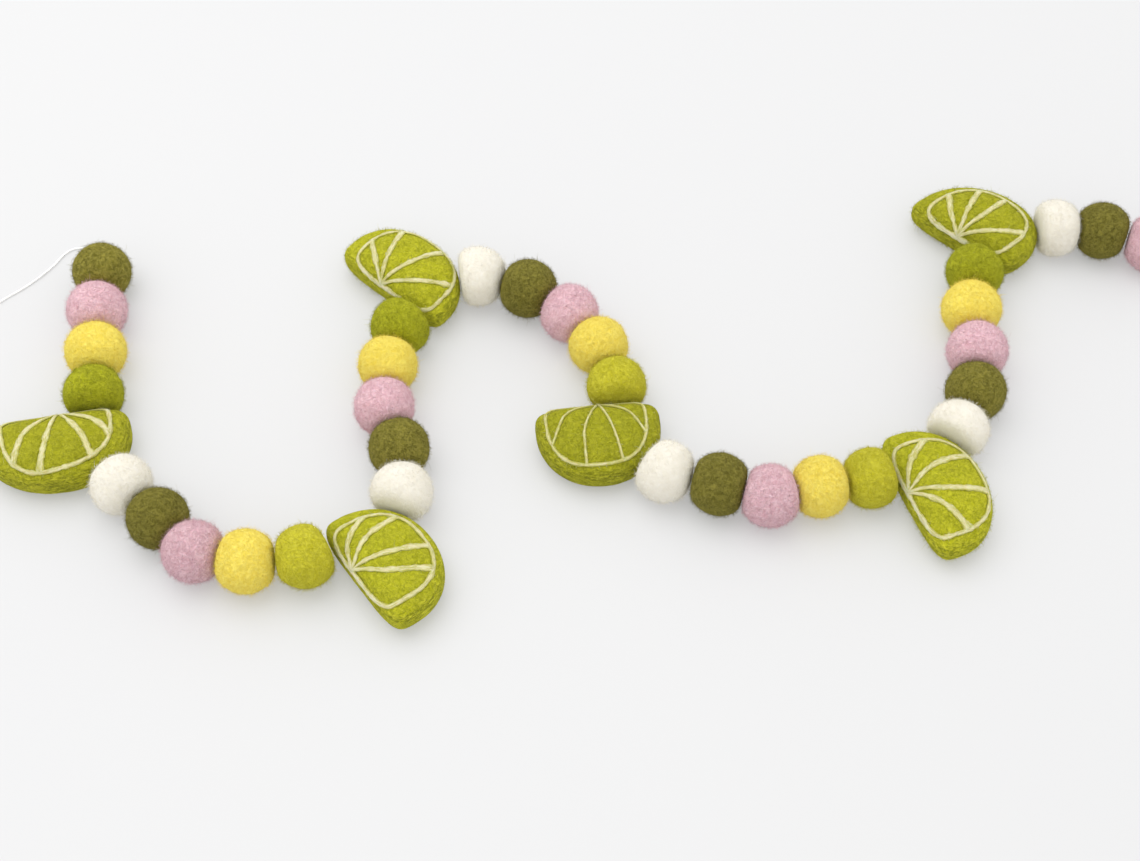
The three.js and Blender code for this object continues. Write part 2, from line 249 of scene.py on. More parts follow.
def sweep(bm, rings, closed=False):
    """Adds a tube of rings, each a row of points, to a mesh: one ring after the other, capped."""
    rows = [[bm.verts.new(point) for point in ring] for ring in rings]
    pairs = list(zip(rows, rows[1:])) + ([(rows[-1], rows[0])] if closed else [])
    for here, there in pairs:
        for k in range(len(here)):
            bm.faces.new((here[k], here[k - 1], there[k - 1], there[k]))
    if not closed:
        bm.faces.new(rows[0])
        bm.faces.new(rows[-1][::-1])


def finished(name, bm, material, slot, *nodes):
    """Makes a mesh a piece of the garland, in the place of the plain solids that it stands for."""
    bmesh.ops.recalc_face_normals(bm, faces=bm.faces)
    for face in bm.faces:
        face.smooth = True
    mesh = bpy.data.meshes.new(name)
    bm.to_mesh(mesh)
    bm.free()
    mesh.materials.append(material)
    piece = bpy.data.objects.new(name, mesh)
    bpy.context.scene.collection.objects.link(piece)
    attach(piece, "root")
    if nodes:
        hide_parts(*nodes)
    return piece


def ply_rings(line, radius):
    """Rings of twisted thread along a line: three plies, each a lobe that turns as it goes."""
    tangents = unit(np.gradient(line, axis=0))
    run = np.arange(len(line)) * np.linalg.norm(line[1] - line[0])
    side = np.cross(tangents[0], [0.1, 0.2, 1])
    around = np.arange(THREAD_SIDES) * 2 * math.pi / THREAD_SIDES
    lobes = radius * (1 - PLY_DEPTH + PLY_DEPTH * abs(np.cos(1.5 * around)))
    rings = []
    for centre, tangent, length in zip(line, tangents, run):
        side = unit(side - tangent * (side @ tangent))
        up = np.cross(tangent, side)
        turn = around + 2 * math.pi * length / PLY_TURN
        rings.append(centre + np.outer(lobes * np.cos(turn), side) + np.outer(lobes * np.sin(turn), up))
    return np.array(rings)


def in_metres(points):
    """From the laying plan's millimetres to the part's frame."""
    return np.array(points) * MM + PLAN_ZERO


def overhand_knot(name, centre, facing, lead_from, lead_in, tail, node):
    """A thread's overhand knot pulled tight: a trefoil with its two ends led out of it. Its ends
    are given across, along and out of the trefoil, and lead_from is where across points."""
    facing = unit(np.array(facing, float))
    across = np.array(lead_from, float)
    across = unit(across - facing * (across @ facing))
    axes = np.stack([across, np.cross(facing, across), facing])
    turn = np.linspace(KNOT_OPEN, 2 * math.pi - KNOT_OPEN, KNOT_STEPS)
    out = 2 + np.cos(3 * turn)
    loop = np.stack([out * np.cos(2 * turn), out * np.sin(2 * turn), np.sin(3 * turn)], axis=1)
    local = np.concatenate([lead_in, loop * KNOT_RADIUS / 2, tail])
    line = smooth_line(local @ axes + centre, THREAD_PITCH)
    bm = bmesh.new()
    sweep(bm, in_metres(ply_rings(line, KNOT_STRAND)))
    return finished(name, bm, cotton_finish, "cotton_thread", node)


cotton_finish = cotton()
route_corners = np.array(THREAD_ROUTE) + FIRST_BALL
route_corners[:, 2] = np.maximum(route_corners[:, 2], THREAD_WIDTH / 2 + THREAD_LIFT)
route = smooth_line(route_corners, THREAD_PITCH)
route_end = unit(route[-1] - route[-2])

bm = bmesh.new()
sweep(bm, in_metres(ply_rings(route, THREAD_WIDTH / 2)))
free_thread = finished("thread_free_end", bm, cotton_finish, "cotton_thread", "free_thread")

knot_reach = 1.5 * KNOT_RADIUS + KNOT_STRAND + KNOT_LEAD
knot_centre = route[-1] + route_end * knot_reach
knot_centre[2] = KNOT_RADIUS / 2 + KNOT_STRAND + THREAD_LIFT
free_knot = overhand_knot(
    "thread_free_knot",
    knot_centre,
    facing=(0, 0, 1),
    lead_from=-route_end,
    lead_in=[(2.8, 0, -0.5), (2.3, 0.05, -0.3)],
    tail=[(2.3, -0.75, -0.1), (3, -1.5, -0.4), (3.6, -2.8, -0.55), (3.7, -4.4, -0.6)],
    node="thread_knot",
)
float(np.linalg.norm(np.diff(route, axis=0), axis=1).sum()) * MM

# Lime slices
# Half-round cushions of lime green felt, needled firm from carded wool and threaded from side to
# side. Their tops are puffed a little between the yarn lines, and longer fibres wrap the rind.
SLICE_THICK = 20
SLICE_SETTLE = 1.55  # how deep the underside is flattened where it lies
SLICE_BACK = 9  # from the cut edge to the widest line
SLICE_CENTRE = 7  # from the widest line to the middle of the top
SLICE_UNEVEN = 0.3
SLICE_SEED = 40  # of the first slice's own swells and lumps
CUT_EDGE_POWER = 4.2  # how square the corners of the cut edge are, 2 being an ellipse
RIND_POWER = 2.1  # how square the round rind side is
SECTION_POWER = 2.6  # how square the rim is from the side
SECTION_REACH = 24  # from the middle of the top to the rim, for spacing the rings of the mesh
SECTION_STEPS = 400
PUFF_HEIGHT = 0.75  # of the felt between two lines, over the groove that a line lies in
PUFF_WIDTH = 2.3  # from a line to where the felt is nearly full again
GROOVE_DEPTH = 0.32
PUFF_FADE = 3  # how quickly the puffed felt starts above the rim
SLICE_LUMP = 0.22
SLICE_LUMP_SIZE = 4.5
SLICE_SEGMENTS = 160
SLICE_RINGS = 52
# One row for each slice: the middle of its cut edge, the heading that the cut edge faces, its width
# and depth, and how far its rind leans to one side, as a share of the depth.
SLICES = [
    dict(edge=(-210.5, -1), facing=101, width=61, depth=34, lean=-0.1),
    dict(edge=(-82.5, -78), facing=216, width=55, depth=34.5, lean=0.05),
    dict(edge=(-80.5, 66), facing=229, width=58, depth=33, lean=-0.05),
    dict(edge=(10.5, 4), facing=96, width=51.5, depth=35.5, lean=0),
    dict(edge=(134, -40.5), facing=200, width=59, depth=33.5, lean=0),
    dict(edge=(172, 92), facing=229, width=53.5, depth=35, lean=0.2),
]
LINE_START = 0.6  # from the cut edge to the closed yarn line's straight side
LINE_POWER = 2.5  # how square its round side is
YARN_PITCH = 0.5  # between two points of a line
# One row for the yarn on each slice: the closed line's width and depth, how far it lies to one side
# and how far its round side slants, and the hub's place along its straight side. Then for each spoke
# where it bends and where it ends, both across and deep from the middle of the cut edge.
YARN_LINES = [
    dict(
        wide=43.6, deep=29.4, aside=-1.4, slant=0.14, hub=-3,
        bends=[(11, 10.8), (3.5, 17), (-10.6, 14), (-17.8, 9.5)],
        ends=[(17.3, 23.7), (7.5, 29.6), (-13.6, 25.6), (-22, 16.3)],
    ),
    dict(
        wide=40.8, deep=30.2, aside=0.5, slant=0, hub=-2.6,
        bends=[(7, 10.3), (0.4, 14.4), (-9.8, 11.6), (-12, 4.8)],
        ends=[(15, 25.7), (5.5, 29.8), (-12.6, 27), (-19.5, 15.5)],
    ),
    dict(
        wide=44.2, deep=30.4, aside=2.4, slant=0, hub=-2.4,
        bends=[(11.4, 9.8), (2.5, 14.9), (-7.2, 10), (-9.6, 5.7)],
        ends=[(22.6, 18.4), (8.2, 29.2), (-12.8, 26.5), (-19.4, 13.3)],
    ),
    dict(
        wide=40.6, deep=31.4, aside=1, slant=0, hub=-0.6,
        bends=[(12.2, 6), (6.1, 15), (-5.1, 15), (-12.3, 7.7)],
        ends=[(19.7, 19.8), (7, 30.8), (-7.8, 30), (-18.3, 17.8)],
    ),
    dict(
        wide=44.5, deep=30.4, aside=1.6, slant=0, hub=-1.2,
        bends=[(11, 9.9), (4.5, 13.8), (-6.9, 13.1), (-11, 5.4)],
        ends=[(23.4, 14.4), (10, 29.5), (-7.6, 29.3), (-20, 16)],
    ),
    dict(
        wide=38.6, deep=29.2, aside=0.7, slant=0, hub=0.2,
        bends=[(9.6, 9.5), (0.8, 14.7), (-5.8, 12.7), (-9.6, 7)],
        ends=[(18.6, 18.4), (0.2, 29), (-11.2, 26.4), (-18, 15.4)],
    ),
]
SLICE_TONES = [0.83, 1.0, 1.05, 0.77, 1.06, 0.88]  # how light or dark each slice's wool is
RIND_TONE = 1.14  # how much paler the rind side is than the top
RIND_FULL = 1.5  # the rind's own look is full up to a little above the rim,
RIND_FALL = 2.2  # and falls off towards the top
TOP_STREAKS = 0.14  # how strong the rind's streaks are on the top


def felt(name, base, pale, deep, mottle, hair, depth, streak=0.0, fleck=None):
    """Needled wool: soft patches, a finer mottle, wandering fibres, and specks if fleck is given."""
    wool = Finish(name)
    place = wool.place()
    tone = wool.attribute("tone")
    patches = wool.between(wool.noise(place, 130, 2), 0.35, 0.65)
    clouds = wool.between(wool.noise(place, 620, 3, 0.4), 0.35, 0.65)
    light_hairs = wool.hairs(place, 420, 0.045, 1.2)
    shifted = wool.stretched(place, (1, 1, 1), (0.31, 0.17, 0.23))
    dark_hairs = wool.hairs(shifted, 380, 0.04, 1.4)
    fine_hairs = wool.hairs(shifted, 1000, 0.06, 0.8)
    tint = wool.mix(patches * (0.5 * mottle), base, deep)
    tint = wool.mix(clouds * (0.6 * mottle), tint, pale)
    relief = clouds * 0.7 + light_hairs * 0.6 + fine_hairs * 0.35 - dark_hairs * 0.6
    if streak:
        on_rind = wool.attribute("rind") * (1 - TOP_STREAKS) + TOP_STREAKS
        wrapped = wool.stretched(place, (1, 1, 4.5), (0.11, 0.05, 0.4))
        streaks = wool.between(wool.noise(wrapped, 230, 3, 1.6), 0.5, 0.58) * on_rind
        bright = wool.between(wool.noise(wrapped, 310, 3, 1.2), 0.5, 0.6) * on_rind
        tint = wool.mix(bright * streak, tint, pale)
        tint = wool.mix(streaks * streak, tint, deep)
        relief = relief + bright * 0.8 - streaks
    tint = wool.mix(dark_hairs * hair, tint, deep)
    tint = wool.mix(light_hairs * hair, tint, pale)
    tint = wool.mix(fine_hairs * (0.6 * hair), tint, pale)
    if fleck:
        specks = wool.between(wool.noise(place, 800, 1), 0.7, 0.76)
        tint = wool.mix(specks * 0.6, tint, fleck)
    tint = wool.node("ShaderNodeVectorMath", {"operation": "SCALE"}, {0: tint, "Scale": tone})
    sockets = {
        "Roughness": 0.95,
        "Specular IOR Level": 0.2,
        "Sheen Weight": 0.25,
        "Sheen Roughness": 0.6,
        "Sheen Tint": pale,
        "Subsurface Weight": 0.15,
        "Subsurface Radius": (1.0, 0.9, 0.6),
        "Subsurface Scale": 1.2 * MM,
    }
    return wool.surface(tint, relief, depth, sockets)


def swell(way, seed):
    """Slow swells over a round form, other ones for each seed."""
    x, y, z = way.T
    broad = np.sin(2.1 * x + 1.7 * seed) + np.sin(2.4 * y + 2.9 * seed) + np.sin(2.2 * z + 4.3 * seed)
    fine = np.sin(4.3 * x - 3.1 * y + 5.3 * seed) + np.sin(3.7 * z + 4.1 * y + 6.1 * seed)
    return broad / 4.5 + fine / 6


def lumps(points, size, seed):
    """Small hand-made unevenness, -1 to 1, in lumps of about that size in millimetres."""
    return np.array([noise.noise(Vector(point / size) + Vector((seed, 2 * seed, 0))) for point in points])


def heading(degrees):
    turn = math.radians(degrees)
    return np.array([math.cos(turn), math.sin(turn), 0])


def half_round(width, back, front, round_power, turns):
    """A half-round outline from above, nearly straight along its back: across and deep."""
    straight = np.sin(turns) < 0
    power = 2 / np.where(straight, CUT_EDGE_POWER, round_power)
    reach = np.where(straight, back, front)
    across = width / 2 * np.sign(np.cos(turns)) * abs(np.cos(turns)) ** power
    return np.stack([across, reach * np.sign(np.sin(turns)) * abs(np.sin(turns)) ** power], axis=1)


def slice_outline(lime):
    turns = np.radians(np.arange(0, 360, 0.5))
    return half_round(lime["width"], SLICE_BACK, lime["depth"] - SLICE_BACK, RIND_POWER, turns)


def rim_along(lime, angles):
    """How far the outline is from the middle of the top, in the direction of each angle."""
    outline = slice_outline(lime) - (0, SLICE_CENTRE)
    around = np.arctan2(outline[:, 1], outline[:, 0])
    order = np.argsort(around)
    return np.interp(angles, around[order], np.hypot(*outline[order].T), period=2 * math.pi)


def slice_to_garland(lime, across, deep, height):
    inward = heading(lime["facing"] + 180)
    along = np.cross(inward, [0, 0, 1])
    inside = deep + SLICE_BACK
    aside = across + lime["lean"] * (inside - lime["depth"] / 2)
    places = np.outer(aside, along) + np.outer(inside, inward) + [*lime["edge"], 0]
    places[:, 2] = height
    return places


def closed_line(lines):
    turns = np.radians(np.arange(0, 360, 5))
    back = SLICE_BACK - LINE_START
    front = lines["deep"] - SLICE_BACK
    across, deep = half_round(lines["wide"], back, front, LINE_POWER, turns).T
    slant = lines["slant"] * across * (deep + back) / (front + back)
    outline = np.column_stack([across + lines["aside"], deep + slant])
    return smooth_line(outline, YARN_PITCH, closed=True)


def spoke_line(lines, spoke):
    corners = [(lines["hub"], LINE_START), lines["bends"][spoke], lines["ends"][spoke]]
    return smooth_line(np.array(corners, float) - (0, SLICE_BACK), YARN_PITCH)


def all_lines(lines):
    return [closed_line(lines)] + [spoke_line(lines, spoke) for spoke in range(len(lines["ends"]))]


def even_section():
    """Turns from the top of a slice's section down to its rim, evenly spaced along the surface."""
    turn = np.linspace(0, math.pi / 2, SECTION_STEPS)
    power = 2 / SECTION_POWER
    out = SECTION_REACH * np.sin(turn) ** power
    up = SLICE_THICK / 2 * np.cos(turn) ** power
    section = np.stack([out, up], axis=1)
    run = np.concatenate([[0], np.cumsum(np.linalg.norm(np.diff(section, axis=0), axis=1))])
    return np.interp(np.linspace(0, 1, SLICE_RINGS // 2 + 1), run / run[-1], turn)


def slice_points(lime, lines, way, seed):
    """Where each direction of a sphere comes to lie on a slice."""
    power = 2 / SECTION_POWER
    from_top = np.arccos(np.clip(abs(way[:, 2]), 0, 1))
    rings = np.linspace(0, math.pi / 2, SLICE_RINGS // 2 + 1)
    from_top = np.interp(from_top, rings, even_section())
    level = np.sin(from_top)
    rise = np.sign(way[:, 2]) * np.cos(from_top)
    angle = np.arctan2(way[:, 1], way[:, 0])
    turned = np.stack([level * np.cos(angle), level * np.sin(angle), rise], axis=1)
    dent = SLICE_UNEVEN / 2 * (1 + swell(turned, seed))
    out = level**power * (rim_along(lime, angle) - dent)
    height = SLICE_THICK / 2 * (1 + np.sign(rise) * abs(rise) ** power) - SLICE_SETTLE
    plan = np.stack([out * np.cos(angle), SLICE_CENTRE + out * np.sin(angle)], axis=1)
    yarn = np.concatenate(all_lines(lines))
    off_line = np.array([np.hypot(*(yarn - point).T).min() for point in plan])
    puff = PUFF_HEIGHT * (1 - np.exp(-((off_line / PUFF_WIDTH) ** 2))) - GROOVE_DEPTH
    on_top = np.clip(rise * PUFF_FADE, 0, 1)
    lump = SLICE_LUMP * lumps(np.column_stack([plan, height]), SLICE_LUMP_SIZE, seed)
    height = height + puff * on_top + lump * np.sign(rise)
    rind = np.clip(RIND_FULL - RIND_FALL * np.clip(rise, 0, 1), 0, 1)
    return slice_to_garland(lime, *plan.T, np.maximum(height, 0)), rind


def paint(bm, name, values):
    """Gives each point of a mesh its own value, which its finish reads by that name."""
    layer = bm.verts.layers.float.new(name)
    for vert, value in zip(bm.verts, np.broadcast_to(values, len(bm.verts))):
        vert[layer] = value


def moved(bm, points):
    for vert, point in zip(bm.verts, points):
        vert.co = point


def corner_order(face):
    corners = [vert.index for vert in face.verts]
    return min(corners) * SLICE_SEGMENTS * SLICE_RINGS * len(corners) + sum(corners)


def ringed_sphere(segments, rings):
    """A unit sphere. Its operator lists the faces in another order each run, and the stray wool's
    seeded spots are picked from that list, so they are put in the order of their corners."""
    bm = bmesh.new()
    bmesh.ops.create_uvsphere(bm, u_segments=segments, v_segments=rings, radius=1)
    bm.verts.index_update()
    bm.faces.sort(key=corner_order)
    return bm


lime_felt = felt(
    "lime_slice_felt",
    base=colour(164, 164, 20),
    pale=colour(206, 203, 60),
    deep=colour(98, 104, 4),
    mottle=0.52,
    hair=0.38,
    depth=0.27,
    streak=0.8,
)
lime_slices = []
for number, (lime, lines, tone) in enumerate(zip(SLICES, YARN_LINES, SLICE_TONES)):
    bm = ringed_sphere(SLICE_SEGMENTS, SLICE_RINGS)
    way = unit(np.array([vert.co[:] for vert in bm.verts]))
    points, rind = slice_points(lime, lines, way, number + SLICE_SEED)
    moved(bm, in_metres(points))
    paint(bm, "tone", tone * (1 + (RIND_TONE - 1) * rind))
    paint(bm, "rind", rind)
    name = f"felt_lime_slice_{number + 1}"
    lime_slices.append(finished(name, bm, lime_felt, "felt_slice", f"lime_slice_{number + 1}"))

# Yarn lines
# Cream roving needled on to each slice: a closed line and four spokes that meet at a hub on the
# cut edge. It lies sunk a little in the felt, flattened, with its fibres running along it.
YARN_WIDTHS = [1.95, 1.9, 1.9, 1.5, 1.9, 2.0]  # on each slice
YARN_SUNK = [0, 0, 0, 0.22, 0, 0]  # how much felt has worked its way over it
YARN_THICK = 0.85
YARN_RISE = 0.02  # of its middle over the slice's smooth top
YARN_UNEVEN = 0.42
UNEVEN_RUNS = (4.3, 1.7)  # lengths of its thick and thin places
YARN_STRAY = 0.14  # how far it wanders to either side
STRAY_RUNS = (2.3, 5.1)
YARN_SIDES = 10
EDGE_STARTS = 6.5  # how far back from the slice's widest line the cut edge's stretch starts
EDGE_FADE = 2  # and over which it comes in
EDGE_WIDTHS = [0.62, 1.35, 1.35, 0.55, 1.35, 1.35]  # along the cut edge, as a share of the rest
EDGE_SUNK = 0.8  # how much deeper it lies there where it is narrower
HUB_WIDTH = 0.65  # of a spoke where it starts, as a share
SPOKE_WIDTHS = [1.35, 1.4, 1.35, 0.75, 1.5, 1.35]  # and where it is widest, on each slice
SPOKE_FULL = 0.7  # the share of its length where it is that wide
END_FLARE = 0.3  # how much wider a spoke is where it fans out into the closed line
FLARE_LENGTH = 1.8


def roving():
    wool = Finish("yarn_roving")
    lay = wool.attribute("lay", "Vector")
    along = wool.noise(wool.stretched(lay, (0.5, 5.5, 1)), 420, 3, 0.3)
    fine = wool.noise(wool.stretched(lay, (0.6, 9, 1), (0.3, 0.2, 0.1)), 900, 2, 0.2)
    place = wool.place()
    patch = wool.between(wool.noise(place, 220, 2), 0.35, 0.65)
    white = wool.attribute("white")
    rim = wool.attribute("rim")
    tint = wool.mix(patch, colour(188, 182, 122), colour(201, 195, 146))
    tint = wool.mix(white * 0.7, tint, colour(210, 206, 182))
    tint = wool.mix(wool.between(along, 0.5, 0.62) * 0.8, tint, colour(168, 164, 80))
    tint = wool.mix(wool.between(fine, 0.5, 0.6) * 0.6, tint, colour(216, 211, 180))
    sunk = wool.between(rim + wool.noise(place, 900, 2) * 0.9, 0.85, 1.4)
    tint = wool.mix(sunk * 0.8, tint, colour(168, 166, 52))
    sockets = {
        "Roughness": 0.9,
        "Specular IOR Level": 0.25,
        "Sheen Weight": 0.25,
        "Sheen Roughness": 0.5,
        "Subsurface Weight": 0.1,
        "Subsurface Scale": 0.8 * MM,
    }
    return wool.surface(tint, along + fine * 0.6, 0.2, sockets)


def slice_top(lime, plan):
    """The smooth top of a slice over points of its plan."""
    out = plan - (0, SLICE_CENTRE)
    share = np.hypot(*out.T) / rim_along(lime, np.arctan2(out[:, 1], out[:, 0]))
    half = (1 - np.minimum(share, 1) ** SECTION_POWER) ** (1 / SECTION_POWER)
    return slice_to_garland(lime, *plan.T, SLICE_THICK / 2 * (1 + half) - SLICE_SETTLE)


def slice_top_normal(lime, plan):
    step = 0.2
    here = slice_top(lime, plan)
    across = slice_top(lime, plan + (step, 0)) - here
    deep = slice_top(lime, plan + (0, step)) - here
    return unit(np.cross(across, deep))


def yarn_rings(lime, plan, width, edge_width, spoke_width, closed, seed):
    """Rings of roving laid over a slice along a line of its plan, and what its finish reads."""
    places = slice_top(lime, plan)
    normals = slice_top_normal(lime, plan)
    if closed:
        tangents = unit(np.roll(places, -1, axis=0) - np.roll(places, 1, axis=0))
    else:
        tangents = unit(np.gradient(places, axis=0))
    sides = unit(np.cross(tangents, normals))
    run = np.arange(len(plan)) * YARN_PITCH
    edge = np.clip((-plan[:, 1] - EDGE_STARTS) / EDGE_FADE, 0, 1)
    length = np.column_stack([run, 0 * run, 0 * run])
    slow, quick = (lumps(length, size, seed + own) for size, own in zip(UNEVEN_RUNS, (0, 5)))
    uneven = YARN_UNEVEN * (slow + 0.6 * quick)
    wander = YARN_STRAY * sum(lumps(length, size, seed + own) for size, own in zip(STRAY_RUNS, (9, 13)))
    width = width * (1 + uneven) * (1 + (edge_width - 1) * edge)
    sunk = EDGE_SUNK * max(1 - edge_width, 0) * edge
    if not closed:
        swelling = np.sin(math.pi / 2 * np.minimum(run / run[-1] / SPOKE_FULL, 1))
        width = width * (HUB_WIDTH + (spoke_width - HUB_WIDTH) * swelling)
        width = width * (1 + END_FLARE * np.exp((run - run[-1]) / FLARE_LENGTH))
    places = places + sides * wander[:, None]
    around = np.arange(YARN_SIDES) * 2 * math.pi / YARN_SIDES
    rings, lay, white = [], [], []
    for k in range(len(plan)):
        out = np.outer(np.cos(around) * width[k] / 2, sides[k])
        up = np.outer(np.sin(around) * YARN_THICK / 2 + YARN_RISE, normals[k])
        rings.append(places[k] + out + up)
        lay.append(np.column_stack([np.full(YARN_SIDES, run[k]), around * 0.6, 0 * around + seed]) * MM)
        white.append(np.full(YARN_SIDES, edge[k]))
    rims = np.tile(abs(np.cos(around)), len(plan)) + np.repeat(sunk, YARN_SIDES)
    return np.array(rings), np.array(lay), np.array(white), rims


roving_finish = roving()
yarns = []
for number, (lime, lines, width) in enumerate(zip(SLICES, YARN_LINES, YARN_WIDTHS)):
    bm = bmesh.new()
    lays, whites, rims = [], [], []
    for strand, plan in enumerate(all_lines(lines)):
        closed = strand == 0
        plan = plan[:-1] if closed else plan
        seed = 10 * number + strand
        shares = EDGE_WIDTHS[number], SPOKE_WIDTHS[number]
        rings, lay, white, rim = yarn_rings(lime, plan, width, *shares, closed, seed)
        sweep(bm, in_metres(rings), closed)
        lays.append(lay.reshape(-1, 3))
        whites.append(white.ravel())
        rims.append(rim + YARN_SUNK[number])
    lay_layer = bm.verts.layers.float_vector.new("lay")
    for vert, lay in zip(bm.verts, np.concatenate(lays)):
        vert[lay_layer] = lay
    paint(bm, "white", np.concatenate(whites))
    paint(bm, "rim", np.concatenate(rims))
    name = f"yarn_lines_{number + 1}"
    yarns.append(finished(name, bm, roving_finish, "yarn_cream", f"slice_yarn_{number + 1}"))

# Felt balls
# Wool rolled into balls of 25 mm and pushed together on the thread, so that each is a little
# flattened where it meets the next one. One row for each run of balls between two slices.
BALL_WIDTH = 25
BALL_SETTLE = 0.9  # how deep the underside is flattened where it lies
BALL_UNEVEN = 0.35
BALL_SPREAD = 0.015  # how much wider or narrower a ball may be, as a share
SPREAD_STEP = 7.3  # from one ball's share to the next one's
BALL_LUMP = 0.09
BALL_LUMP_SIZE = 3.6
CHEEK_ROUND = 2.4  # how soft the rim of a flattened cheek is
SLICE_CHEEK_ROUND = 4.5  # softer, because the slice gives way too
YARN_HEIGHT = 0.9  # of the yarn between a ball and the cut edge of a slice
CLEARANCE = 0.3  # between two pieces that touch
DIMPLE_DEPTH = 1.1  # where the thread goes into an end ball
DIMPLE_ANGLE = 0.13  # how wide that is, in radians
FULL_RUN = ["white", "olive", "pink", "yellow", "lime"]
RUNS = [
    dict(balls=FULL_RUN[1:], start=(-203, 76), gaps=[21.7, 22, 22.5], headings=[-87, -83, -84]),
    dict(balls=FULL_RUN, start=(-179, -34), gaps=[23.2, 22, 21.1, 23.1], headings=[-44, -44, -12, 5]),
    dict(balls=FULL_RUN, start=(-67, -38), gaps=[21.6, 21.7, 21.1, 21.1], headings=[96, 109, 89, 79]),
    dict(balls=FULL_RUN, start=(-40, 73), gaps=[23, 22.4, 20.9, 22.6], headings=[-17, -37, -55, -71]),
    dict(balls=FULL_RUN, start=(38, -28), gaps=[22.6, 20.4, 20.9, 21.4], headings=[-16, -16, 13, 11]),
    dict(balls=FULL_RUN, start=(158, -7.5), gaps=[21.3, 21.6, 22, 21.8], headings=[63, 81, 89, 79]),
    dict(balls=FULL_RUN[:3], start=(214, 101), gaps=[20.9, 22.1], headings=[-4, -21]),
]
BALL_FELT = {
    "olive": felt(
        "olive_felt",
        base=colour(108, 102, 32),
        pale=colour(146, 138, 62),
        deep=colour(70, 66, 12),
        mottle=1.0,
        hair=0.75,
        depth=0.3,
    ),
    "pink": felt(
        "pink_felt",
        base=colour(215, 172, 180),
        pale=colour(236, 206, 212),
        deep=colour(190, 138, 150),
        mottle=0.65,
        hair=0.42,
        depth=0.24,
        fleck=colour(120, 80, 90),
    ),
    "yellow": felt(
        "yellow_felt",
        base=colour(232, 210, 84),
        pale=colour(243, 228, 122),
        deep=colour(216, 186, 46),
        mottle=0.6,
        hair=0.4,
        depth=0.2,
    ),
    "lime": felt(
        "lime_felt",
        base=colour(154, 156, 20),
        pale=colour(186, 186, 46),
        deep=colour(104, 108, 6),
        mottle=0.8,
        hair=0.55,
        depth=0.3,
    ),
    "fresh_lime": felt(
        "fresh_lime_felt",
        base=colour(188, 181, 38),
        pale=colour(208, 202, 70),
        deep=colour(150, 144, 14),
        mottle=0.7,
        hair=0.45,
        depth=0.26,
    ),
    "white": felt(
        "white_felt",
        base=colour(225, 220, 207),
        pale=colour(235, 232, 223),
        deep=colour(208, 201, 182),
        mottle=0.3,
        hair=0.16,
        depth=0.08,
    ),
}
# One row for each run: how much lighter or darker each ball's own lot of wool is.
BALL_TONES = [
    [1.22, 1.04, 1.02, 1.02],
    [1.0, 0.92, 0.92, 1.0, 1.04],
    [1.0, 1.08, 1.05, 1.0, 1.0],
    [1.0, 0.95, 1.03, 0.98, 1.02],
    [0.99, 0.92, 0.95, 0.96, 0.96],
    [1.0, 1.02, 1.02, 1.0, 0.92],
    [0.98, 0.92, 1.0],
]
FRESH_LIME_RUNS = [1, 3, 4]  # whose lime ball is of a fresher, yellower wool


def soft_min(a, b, width):
    near = np.maximum(width - abs(a - b), 0) / width
    return np.minimum(a, b) - near**2 * width / 4


def lay_run(run, count):
    """The balls of one run, one after the other along the thread."""
    spot = np.array([*run["start"], 0], float)
    balls = []
    for i, wool in enumerate(run["balls"]):
        if i > 0:
            spot = spot + heading(run["headings"][i - 1]) * run["gaps"][i - 1]
        radius = BALL_WIDTH / 2 * (1 + BALL_SPREAD * math.sin(SPREAD_STEP * (count + i)))
        balls.append(dict(wool=wool, radius=radius, centre=spot + [0, 0, radius - BALL_SETTLE]))
    return balls


def cheek_at_slice(ball, lime, yarn):
    rim = slice_to_garland(lime, *slice_outline(lime).T, ball["centre"][2]) - ball["centre"]
    nearest = rim[np.linalg.norm(rim, axis=1).argmin()]
    return unit(nearest), np.linalg.norm(nearest) - yarn - CLEARANCE, SLICE_CHEEK_ROUND


def cheek_at_ball(ball, other):
    way = other["centre"] - ball["centre"]
    return unit(way), (np.linalg.norm(way) - CLEARANCE) / 2, CHEEK_ROUND


def ball_points(ball, way, cheeks, thread_hole, seed):
    """Where each direction of a sphere comes to lie on a ball."""
    radius = ball["radius"] + BALL_UNEVEN * swell(way, seed)
    radius = radius + BALL_LUMP * lumps(way * BALL_WIDTH / 2, BALL_LUMP_SIZE, seed)
    if thread_hole is not None:
        off = np.arccos(np.clip(way @ thread_hole, -1, 1)) / DIMPLE_ANGLE
        radius = radius - DIMPLE_DEPTH * np.exp(-(off**2))
    points = way * radius[:, None]
    for towards, reach, softness in cheeks:
        out = points @ towards
        points = points + np.outer(soft_min(out, reach, softness) - out, towards)
    points = points + ball["centre"]
    points[:, 2] = np.maximum(points[:, 2], 0)
    return points


